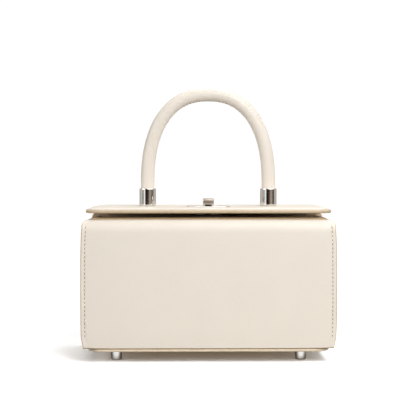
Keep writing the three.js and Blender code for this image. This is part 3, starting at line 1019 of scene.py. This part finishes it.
# Stitches

STITCH_RINGS = (-1, -0.86, -0.5, 0, 0.5, 0.86, 1)
STITCH_SIDES = 6
SEAM_LOOK_AHEAD = 0.1
STITCH_SLANT = math.radians(9)
HOLE_RINGS = ((1.0, -0.25), (0.92, 0.0), (0.55, 0.05))
HOLE_STRETCH = (1.15, 0.85)
HOLE_SIDES = 8
STITCH_SUNK = GROOVE_DEPTH * 0.8
HOLE_SUNK = GROOVE_DEPTH * 0.9
SEAM_START = 10.9
SEAM_END = FACE_LENGTH + 11
INNER_SEAM_SHORT = 3


def stitch_shape(length, radius):
    """One stitch as rings of points along x: a thread that dips into the leather at both ends."""
    points = []
    for t in STITCH_RINGS:
        width = radius * (0.25 if abs(t) == 1 else 1 - 0.25 * abs(t) ** 3)
        height = radius * 0.9 * (1 - 1.7 * t ** 4)
        points += [(t * length / 2, width * c, height + width * s) for c, s in around(STITCH_SIDES)]
    return np.array(points), tube_faces(len(STITCH_RINGS), STITCH_SIDES, True)


def hole_shape(radius):
    """A needle hole as a shallow dome sunk in the leather, coloured dark: painted shade for the inside of the
    hole.
    """
    along, across = HOLE_STRETCH
    points = [
        (radius * along * share * c, radius * across * share * s, height)
        for share, height in HOLE_RINGS for c, s in around(HOLE_SIDES)
    ]
    return np.array(points), tube_faces(len(HOLE_RINGS), HOLE_SIDES)


STITCH = stitch_shape(STITCH_LENGTH, THREAD_RADIUS)
NEEDLE_HOLE = hole_shape(HOLE_RADIUS)


def add_along(parts, shape, origin, along, outward, look, slant=0.0):
    """Sets a small shape on a surface, its x along the seam and its z outwards."""
    points, faces = shape
    along = np.array(along) / np.linalg.norm(along)
    outward = np.array(outward) / np.linalg.norm(outward)
    across = np.cross(outward, along)
    turned = math.cos(slant) * along + math.sin(slant) * across
    crossed = np.cross(outward, turned)
    basis = np.array([turned, crossed, outward])
    parts.add(np.array(origin) + points @ basis, faces, look)


def seam_stitches(parts, line, end, slant):
    """A row of stitches and needle holes on line(s), which gives a point and its outward direction."""
    count = int((end - SEAM_START) / STITCH_PITCH)
    for k in range(count + 1):
        s = SEAM_START + k * STITCH_PITCH
        point, outward = (np.array(v) for v in line(s))
        along = np.array(line(s + SEAM_LOOK_AHEAD)[0]) - point
        if k < count:
            middle, out_middle = (np.array(v) for v in line(s + STITCH_PITCH / 2))
            add_along(parts, STITCH, middle - out_middle * STITCH_SUNK, along, out_middle, 0, slant)
        add_along(parts, NEEDLE_HOLE, point - outward * HOLE_SUNK, along, outward, 1)


def front_seam(side, inset=0.0, facing=1.0):
    def line(s):
        y, z, out_y, out_z = run_point(s, inset)
        x = side * (float(half_width(z, SHELF_TOP)) - STITCH_INSET)
        return (x, y, z), (0, facing * out_y, facing * out_z)
    return line


def back_seam(side, y, facing=1.0):
    def line(s):
        z = PANEL_BOTTOM + s
        x = side * (float(half_width(z, BACK_TOP)) - STITCH_INSET)
        return (x, y, z), (0, facing, 0)
    return line


def make_stitching():
    back_end = BACK_TOP - TOP_CORNER_DOWN - PANEL_BOTTOM
    inner = FLANGE_INSET + FLANGE_LEATHER
    for side, word in ((-1, "left"), (1, "right")):
        parts = MeshParts()
        seam_stitches(parts, front_seam(side), SEAM_END, side * STITCH_SLANT)
        seam_stitches(parts, back_seam(side, BACK_Y), back_end, side * STITCH_SLANT)
        seam_stitches(parts, front_seam(side, inner, -1.0), SEAM_END - INNER_SEAM_SHORT, STITCH_SLANT)
        seam_stitches(parts, back_seam(side, BACK_Y - inner, -1.0), back_end, STITCH_SLANT)
        dress(parts.build(f"{word}_stitching", [THREAD, HOLE_SHADE]), "bag", "cream_leather")


# Handle

def arch_line():
    """Middle line of the handle in its own plane, evenly spaced, from the left foot to the right."""
    spring = FERRULE_HIGH[2] + HANDLE_LEG_RISE
    angles = np.linspace(0, math.pi, ARCH_SAMPLES)
    across = -np.sign(np.cos(angles)) * np.abs(np.cos(angles)) ** (2 / ARCH_POWER)
    up = np.abs(np.sin(angles)) ** (2 / ARCH_POWER)
    arch = np.column_stack([HANDLE_HALF_SPAN * across, spring + ARCH_HEIGHT * up])
    line = np.vstack([[-HANDLE_HALF_SPAN, HANDLE_FOOT], arch, [HANDLE_HALF_SPAN, HANDLE_FOOT]])
    steps = np.linalg.norm(np.diff(line, axis=0), axis=1)
    length = np.concatenate([[0], np.cumsum(steps)])
    even = np.linspace(0, length[-1], HANDLE_STATIONS)
    return np.column_stack([np.interp(even, length, line[:, k]) for k in (0, 1)]), length[-1]


def make_handle():
    line, length = arch_line()
    tangent = np.gradient(line, axis=0)
    tangent /= np.linalg.norm(tangent, axis=1)[:, None]
    outward = np.column_stack([-tangent[:, 1], tangent[:, 0]])
    angles = np.linspace(-math.pi, math.pi, HANDLE_SIDES, endpoint=False)
    angles = angles * 0.55 + np.sign(angles) * 0.45 * math.pi * np.abs(angles / math.pi) ** 0.6
    points = []
    for (x, z), (out_x, out_z) in zip(line, outward):
        for a in angles:
            seam = math.exp(-((math.pi - abs(a)) / HANDLE_SEAM_WIDTH) ** 2)
            radius = HANDLE_RADIUS - HANDLE_SEAM_DEPTH * seam
            across = radius * math.cos(a)
            points.append((x + out_x * across, radius * math.sin(a), z + out_z * across))
    parts = MeshParts()
    parts.add(points, tube_faces(len(line), HANDLE_SIDES))
    dress(parts.build("handle_leather", [HANDLE_SHADED_LEATHER]), "bag", "cream_leather", "handle")
    make_handle_stitching(line, outward, length)


def make_handle_stitching(line, outward, length):
    """Small slanted stitches that close the sleeve along the inner side of the handle."""
    short = stitch_shape(HANDLE_STITCH_LENGTH, HANDLE_THREAD_RADIUS)
    parts = MeshParts()
    sewn = length - 2 * HANDLE_STITCH_START
    count = int(sewn / HANDLE_STITCH_PITCH)
    position = np.linspace(0, length, len(line))
    for k in range(count + 1):
        s = HANDLE_STITCH_START + sewn * k / count
        x, z = (np.interp(s, position, line[:, axis]) for axis in (0, 1))
        out_x, out_z = (np.interp(s, position, outward[:, axis]) for axis in (0, 1))
        inner = np.array([-out_x, 0, -out_z])
        origin = np.array([x, 0, z]) + inner * (HANDLE_RADIUS - HANDLE_STITCH_SUNK)
        add_along(parts, short, origin, np.cross(inner, (0, 1, 0)), inner, 0, HANDLE_STITCH_SLANT)
    dress(parts.build("handle_stitching", [THREAD]), "bag", "cream_leather")


# Metal

def add_turned(parts, profile, x, y, sides):
    """A turned piece from its profile of radius and height, which starts and ends on the axis."""
    points = [(x, y, profile[0][1])]
    rings = []
    for radius, height in profile[1:-1]:
        rings.append(list(range(len(points), len(points) + sides)))
        points += [(x + radius * c, y + radius * s, height) for c, s in around(sides)]
    last = len(points)
    points.append((x, y, profile[-1][1]))
    faces = [(0, rings[0][(k + 1) % sides], rings[0][k]) for k in range(sides)]
    for lower, upper in zip(rings[:-1], rings[1:]):
        faces += ring_faces(lower, upper)
    faces += [(last, rings[-1][k], rings[-1][(k + 1) % sides]) for k in range(sides)]
    parts.add(points, faces)


def arc_profile(centre, radius, start, end, steps):
    """Profile points on an arc, with angles in degrees."""
    return [
        (centre[0] + radius * math.cos(a), centre[1] + radius * math.sin(a))
        for a in np.radians(np.linspace(start, end, steps + 1))
    ]


FERRULE_EDGE = 0.45
FERRULE_FOOT = 1.1
FERRULE_RIM = 0.3
FERRULE_BORE = HANDLE_RADIUS + 0.12
FERRULE_SEAT_DEPTH = 6
FERRULE_SIDES = 72
FOOT_SIDES = 64
FOOT_TOP_EDGE = 0.3
FOOT_TAPER_TOP = (0.12, 0.9)
ARC_LEAD = 0.3


def make_ferrules():
    outer = (FERRULE_HIGH[0] - FERRULE_LOW[0]) / 2
    bottom = LID_TOP + REST_GAP
    top = FERRULE_HIGH[2]
    foot, edge, rim = FERRULE_FOOT, FERRULE_EDGE, FERRULE_RIM
    profile = [(0, bottom), (outer - foot - ARC_LEAD, bottom)]
    profile += arc_profile((outer - foot, bottom + foot), foot, -90, 0, steps=8)
    profile += [(outer, bottom + foot + ARC_LEAD), (outer, top - edge - ARC_LEAD)]
    profile += arc_profile((outer - edge, top - edge), edge, 0, 90, steps=5)
    profile += arc_profile((FERRULE_BORE + rim, top - rim), rim, 90, 180, steps=5)
    profile += [(FERRULE_BORE, top - FERRULE_SEAT_DEPTH), (0, top - FERRULE_SEAT_DEPTH)]
    for side, word in ((-1, "left"), (1, "right")):
        parts = MeshParts()
        add_turned(parts, profile, side * HANDLE_HALF_SPAN, 0, FERRULE_SIDES)
        dress(parts.build(f"{word}_ferrule_metal", [METAL]), "bag", "polished_metal", f"{word}_ferrule")


def make_feet():
    radius, edge, rim, top = FOOT_BOTTOM_RADIUS, FOOT_EDGE, FOOT_TOP_EDGE, BASE_LOW[2] - REST_GAP
    for node in ("foot_front_left", "foot_front_right", "foot_rear_left", "foot_rear_right"):
        low, high = node_box(node)
        x, y = (low[:2] + high[:2]) / 2
        top_radius = (high[0] - low[0]) / 2
        profile = [(0, 0), (radius - edge - ARC_LEAD, 0)]
        profile += arc_profile((radius - edge, edge), edge, -90, 5, steps=7)
        profile += [(top_radius - FOOT_TAPER_TOP[0], top - FOOT_TAPER_TOP[1])]
        profile += arc_profile((top_radius - rim, top - rim), rim, 0, 90, steps=4)
        profile += [(top_radius - 1, top), (0, top)]
        parts = MeshParts()
        add_turned(parts, profile, x, y, FOOT_SIDES)
        dress(parts.build(f"{node}_metal", [FOOT_METAL]), "bag", "polished_metal", node)


# The leather is pressed in round the plate, which therefore shows less than its whole thickness
PLATE_PROUD = 0.62
PLATE_EDGE = 0.5
PLATE_RIM = 0.35
PLATE_CORNER_STEPS = 12
PLATE_FLAT_MARGINS = (0.15, 0.3)
RIM_STEPS = (1.0, 0.65, 0.3, 0)


def make_lock_plate():
    """The slotted plate: loops round its outside and its slot, with softened edges."""
    top = LID_TOP + PLATE_PROUD
    bottom = LID_TOP + REST_GAP
    slot = [size + 2 * SLOT_CLEARANCE for size in (KNOB_LENGTH, KNOB_WIDTH)]
    slot_corner = KNOB_CORNER + SLOT_CLEARANCE
    outer_c, outer_d = rounded_rectangle(*(PLATE_HIGH - PLATE_LOW)[:2], PLATE_CORNER, PLATE_CORNER_STEPS)
    inner_c, inner_d = rounded_rectangle(*slot, slot_corner, PLATE_CORNER_STEPS)

    def outer(inset, z):
        return outer_c + outer_d * (PLATE_CORNER - inset), z

    def inner(offset, z):
        return inner_c + inner_d * (slot_corner + offset), z

    edge_top, rim_top = rounded_top(top, PLATE_EDGE), rounded_top(top, PLATE_RIM)
    loops = [outer(d, edge_top(d)) for d in edge_rings(PLATE_EDGE)]
    outside, inside = PLATE_FLAT_MARGINS
    loops += [outer(PLATE_EDGE + outside, top), inner(PLATE_RIM + inside, top)]
    loops += [inner(share * PLATE_RIM, rim_top(share * PLATE_RIM)) for share in RIM_STEPS]
    loops += [inner(0, bottom), outer(0, bottom)]
    size = len(outer_c)
    points = [(x, y + LOCK_Y, z) for loop, z in loops for x, y in loop]
    rings = [list(range(k * size, (k + 1) * size)) for k in range(len(loops))]
    following = rings[1:] + rings[:1]
    faces = [face for ring, after in zip(rings, following) for face in ring_faces(ring, after)]
    parts = MeshParts()
    parts.add(points, faces)
    dress(parts.build("lock_plate_metal", [PLATE_SHADED_METAL]), "bag", "polished_metal", "lock_plate")


def make_knob():
    low, grip_bottom, grip_top = KNOB_LOW[2], PLATE_HIGH[2] + KNOB_CLEARANCE, KNOB_HIGH[2]
    rings = [KNOB_EDGE * share for share in KNOB_EDGE_STEPS] + [0.8, 1.1]
    parts = board(
        (KNOB_WIDTH, KNOB_LENGTH), KNOB_CORNER, rings,
        rounded_top(grip_top, KNOB_EDGE), rounded_bottom(grip_bottom, KNOB_EDGE),
        steps=8, looks=(0, 0, 0), y=LOCK_Y,
    )
    post_top = grip_bottom + 1
    profile = [(0, low), (POST_RADIUS - POST_CHAMFER, low), (POST_RADIUS, low + POST_CHAMFER)]
    profile += [(POST_RADIUS, post_top), (0, post_top)]
    add_turned(parts, profile, 0, LOCK_Y, POST_SIDES)
    dress(parts.build("turn_knob_metal", [KNOB_SHADED_METAL]), "knob", "polished_metal", "turn_knob")


def make_lock_base():
    parts = board(
        (LOCK_BASE_HIGH - LOCK_BASE_LOW)[:2], LOCK_BASE_CORNER, edge_rings(LOCK_BASE_EDGE, 0.9, 2.5, 3.4),
        rounded_top(LOCK_BASE_HIGH[2], LOCK_BASE_EDGE), level(SHELF_TOP + REST_GAP),
        steps=8, looks=(0, 0, 0), y=LOCK_Y,
    )
    piece = parts.build("lock_base_metal", [LOCK_BASE_SHADE_METAL])
    radius = POST_RADIUS + POST_CLEARANCE
    floor, above = LOCK_BASE_LOW[2] + 1, LOCK_BASE_HIGH[2] + 1
    bore = MeshParts()
    add_turned(bore, [(0, floor), (radius, floor), (radius, above), (0, above)], 0, LOCK_Y, POST_SIDES)
    cut(piece, bore, "lock_socket")
    dress(piece, "bag", "polished_metal", "lock_base")


def dress_carried_nodes():
    """CAD nodes that stay as they are, hidden under the lid."""
    for node in ("left_handle_nut", "right_handle_nut"):
        obj = bpy.data.objects[node]
        obj.data.materials.clear()
        obj.data.materials.append(METAL)


make_front_panel()
make_shelf_facing()
make_back_panel()
make_gusset(-1, "left_gusset")
make_gusset(1, "right_gusset")
make_base()
make_lid()
make_hinge()
make_handle()
make_stitching()
make_ferrules()
make_feet()
make_lock_plate()
make_lock_base()
make_knob()


# Stage: floor, lights and surroundings

FLOOR_REACH = 1.1
FLOOR_SHADOW_REACH = (0.15, 0.34)
FLOOR_GLOW = 1.05
FLOOR_GLOW_BOUNCE = 0.15
FLOOR_GLOW_BEHIND = 0.75
FLOOR_BEHIND = (0.08, 0.4)
# A warm glow added to the floor near the bag: painted light standing in for light bounced from the leather
# into the shadow.
FLOOR_PAINTED_BOUNCE_GLOW = (0.056, 0.041, 0.026, 1)
FLOOR_BOUNCE = (0.29, 0.286, 0.278, 1)
FLOOR_MIRRORED = 0.95
FLOOR_MIRRORED_FROM = (-0.032, -0.05)
FLOOR_SEEN = (1.36, 1.38, 1.41, 1)
FILL_ZENITH = 0.07
FILL_HORIZON = 0.15
FILL_FRONT = 0.1
FILL_BEHIND = 0.2
FILL_HEIGHTS = (0.05, 0.7)

# Softboxes: name, place, target and size in metres, and power in watts
SOFTBOXES = [
    ("main_softbox", (0.28, -0.60, 0.70), (0, 0, 0.1), (0.45, 0.4), 3.85),
    ("front_softbox", (0.4, -1.3, 0.72), (0, 0, 0.1), (1.3, 1.0), 8),
    ("top_softbox", (0.15, 0.3, 1.1), (0, 0, 0.1), (0.8, 0.6), 6.2),
    ("left_softbox", (-1.0, -0.5, 0.45), (0, 0, 0.08), (0.6, 0.6), 4.6),
    ("right_softbox", (1.0, -0.5, 0.45), (0, 0, 0.08), (0.6, 0.6), 2.7),
]


def make_floor():
    """White paper: it takes the shadow close to the bag and brightens to pure white further away."""
    mesh = bpy.data.meshes.new("floor")
    far = FLOOR_REACH
    mesh.from_pydata([(-far, -far, 0), (far, -far, 0), (far, far, 0), (-far, far, 0)], [], [(0, 1, 2, 3)])
    material, n, place = new_material("floor_paper")
    path = n.add("ShaderNodeLightPath").outputs
    depth = n.add("ShaderNodeSeparateXYZ", Vector=place).outputs["Y"]
    ahead = n.spread(depth, (0, FLOOR_MIRRORED), FLOOR_MIRRORED_FROM)
    mirrored = n.math("MULTIPLY", path["Is Glossy Ray"], ahead)
    seen = n.math("MAXIMUM", path["Is Camera Ray"], mirrored)
    paper = n.add("ShaderNodeBsdfDiffuse", Color=n.mix(seen, FLOOR_BOUNCE, FLOOR_SEEN)).outputs[0]
    # Painted light: a warm glow lifts the floor's shadow.
    lift = n.add("ShaderNodeEmission", Color=FLOOR_PAINTED_BOUNCE_GLOW).outputs[0]
    shaded = n.fill("ShaderNodeAddShader", (paper, lift))
    behind = n.spread(depth, (FLOOR_GLOW_BOUNCE, FLOOR_GLOW_BEHIND), FLOOR_BEHIND)
    strength = n.spread(seen, (behind, FLOOR_GLOW))
    glow = n.add("ShaderNodeEmission", Color=(*WHITE, 1), Strength=strength).outputs[0]
    away = n.add("ShaderNodeVectorMath", {"operation": "LENGTH"})
    n.put(away.inputs[0], place)
    share = n.spread(away.outputs["Value"], (0, 1), FLOOR_SHADOW_REACH, smooth=True)
    n.add("ShaderNodeOutputMaterial", Surface=n.fill("ShaderNodeMixShader", (share, shaded, glow)))
    mesh.materials.append(material)
    floor = bpy.data.objects.new("floor", mesh)
    bpy.context.scene.collection.objects.link(floor)


def add_softbox(name, place, target, size, power):
    """A soft light that faces its target."""
    data = bpy.data.lights.new(name, "AREA")
    data.shape = "RECTANGLE"
    data.size, data.size_y = size
    data.energy = power
    light = bpy.data.objects.new(name, data)
    light.location = place
    direction = np.array(place) - np.array(target)
    yaw = math.atan2(direction[0], -direction[1])
    pitch = math.atan2(math.hypot(direction[0], direction[1]), direction[2])
    light.rotation_euler = (pitch, 0, yaw)
    bpy.context.scene.collection.objects.link(light)


# What polished metal mirrors round the bag, by direction in degrees from the camera's side, to the right:
# pale walls behind, a grey screen, a white softbox, the dark camera side, warm dark floor boards beyond it,
# a grey wall, a black screen and a pale wall
SURROUNDINGS = [
    (-180, (0.50, 0.45, 0.40)),
    (-122, (0.48, 0.43, 0.38)),
    (-112, (0.62, 0.60, 0.54)),
    (-80, (0.58, 0.56, 0.50)),
    (-72, (0.20, 0.20, 0.19)),
    (-57, (0.22, 0.22, 0.21)),
    (-52, (1.0, 1.0, 1.0)),
    (-35, (1.0, 1.0, 1.0)),
    (-31, (0.012, 0.012, 0.012)),
    (-10, (0.012, 0.012, 0.012)),
    (-5, (0.07, 0.022, 0.008)),
    (14, (0.09, 0.03, 0.012)),
    (20, (0.30, 0.28, 0.26)),
    (50, (0.38, 0.33, 0.26)),
    (57, (0.05, 0.045, 0.04)),
    (80, (0.06, 0.055, 0.05)),
    (90, (0.60, 0.54, 0.48)),
    (124, (0.58, 0.50, 0.46)),
    (180, (0.50, 0.45, 0.40)),
]
SKY_START, SKY_FULL = 0.3, 0.7
SKY_COLOUR = (0.9, 0.88, 0.85)
FILL_COLOUR = (1.0, 0.995, 0.985)


def make_world():
    world = bpy.data.worlds.new("studio")
    bpy.context.scene.world = world
    world.use_nodes = True
    n = Nodes(world.node_tree)
    direction = n.add("ShaderNodeTexCoord").outputs["Generated"]
    x, y, z = n.add("ShaderNodeSeparateXYZ", Vector=direction).outputs
    azimuth = n.math("ARCTAN2", x, n.math("MULTIPLY", y, -1.0))
    share = n.math("ADD", n.math("MULTIPLY", azimuth, 1 / (2 * math.pi)), 0.5)
    walls = n.ramp(share, [(angle / 360 + 0.5, colour) for angle, colour in SURROUNDINGS])
    sky = n.ramp(z, [(SKY_START, BLACK), (SKY_FULL, WHITE)])
    low = n.spread(z, (0, 1), FILL_HEIGHTS[::-1], smooth=True)
    front = n.math("MAXIMUM", n.math("MULTIPLY", y, -FILL_FRONT), n.math("MULTIPLY", y, FILL_BEHIND))
    strength = n.math("MULTIPLY", low, n.math("ADD", front, FILL_HORIZON))
    strength = n.math("ADD", strength, FILL_ZENITH)

    def light(colour, power):
        return n.add("ShaderNodeBackground", Color=colour, Strength=power).outputs[0]

    fill = light((*FILL_COLOUR, 1), strength)
    seen = light((*WHITE, 1), FLOOR_GLOW)
    mirrored = light(n.mix(sky, walls, (*SKY_COLOUR, 1)), 1.0)
    path = n.add("ShaderNodeLightPath").outputs
    unseen = n.fill("ShaderNodeMixShader", (path["Is Glossy Ray"], fill, mirrored))
    whole = n.fill("ShaderNodeMixShader", (path["Is Camera Ray"], unseen, seen))
    n.add("ShaderNodeOutputWorld", Surface=whole)


make_floor()
make_world()
for softbox in SOFTBOXES:
    add_softbox(*softbox)
dress_carried_nodes()

bpy.context.scene.view_settings.view_transform = "Standard"
bpy.context.scene.view_settings.look = "None"
bpy.context.scene.cycles.use_denoising = True
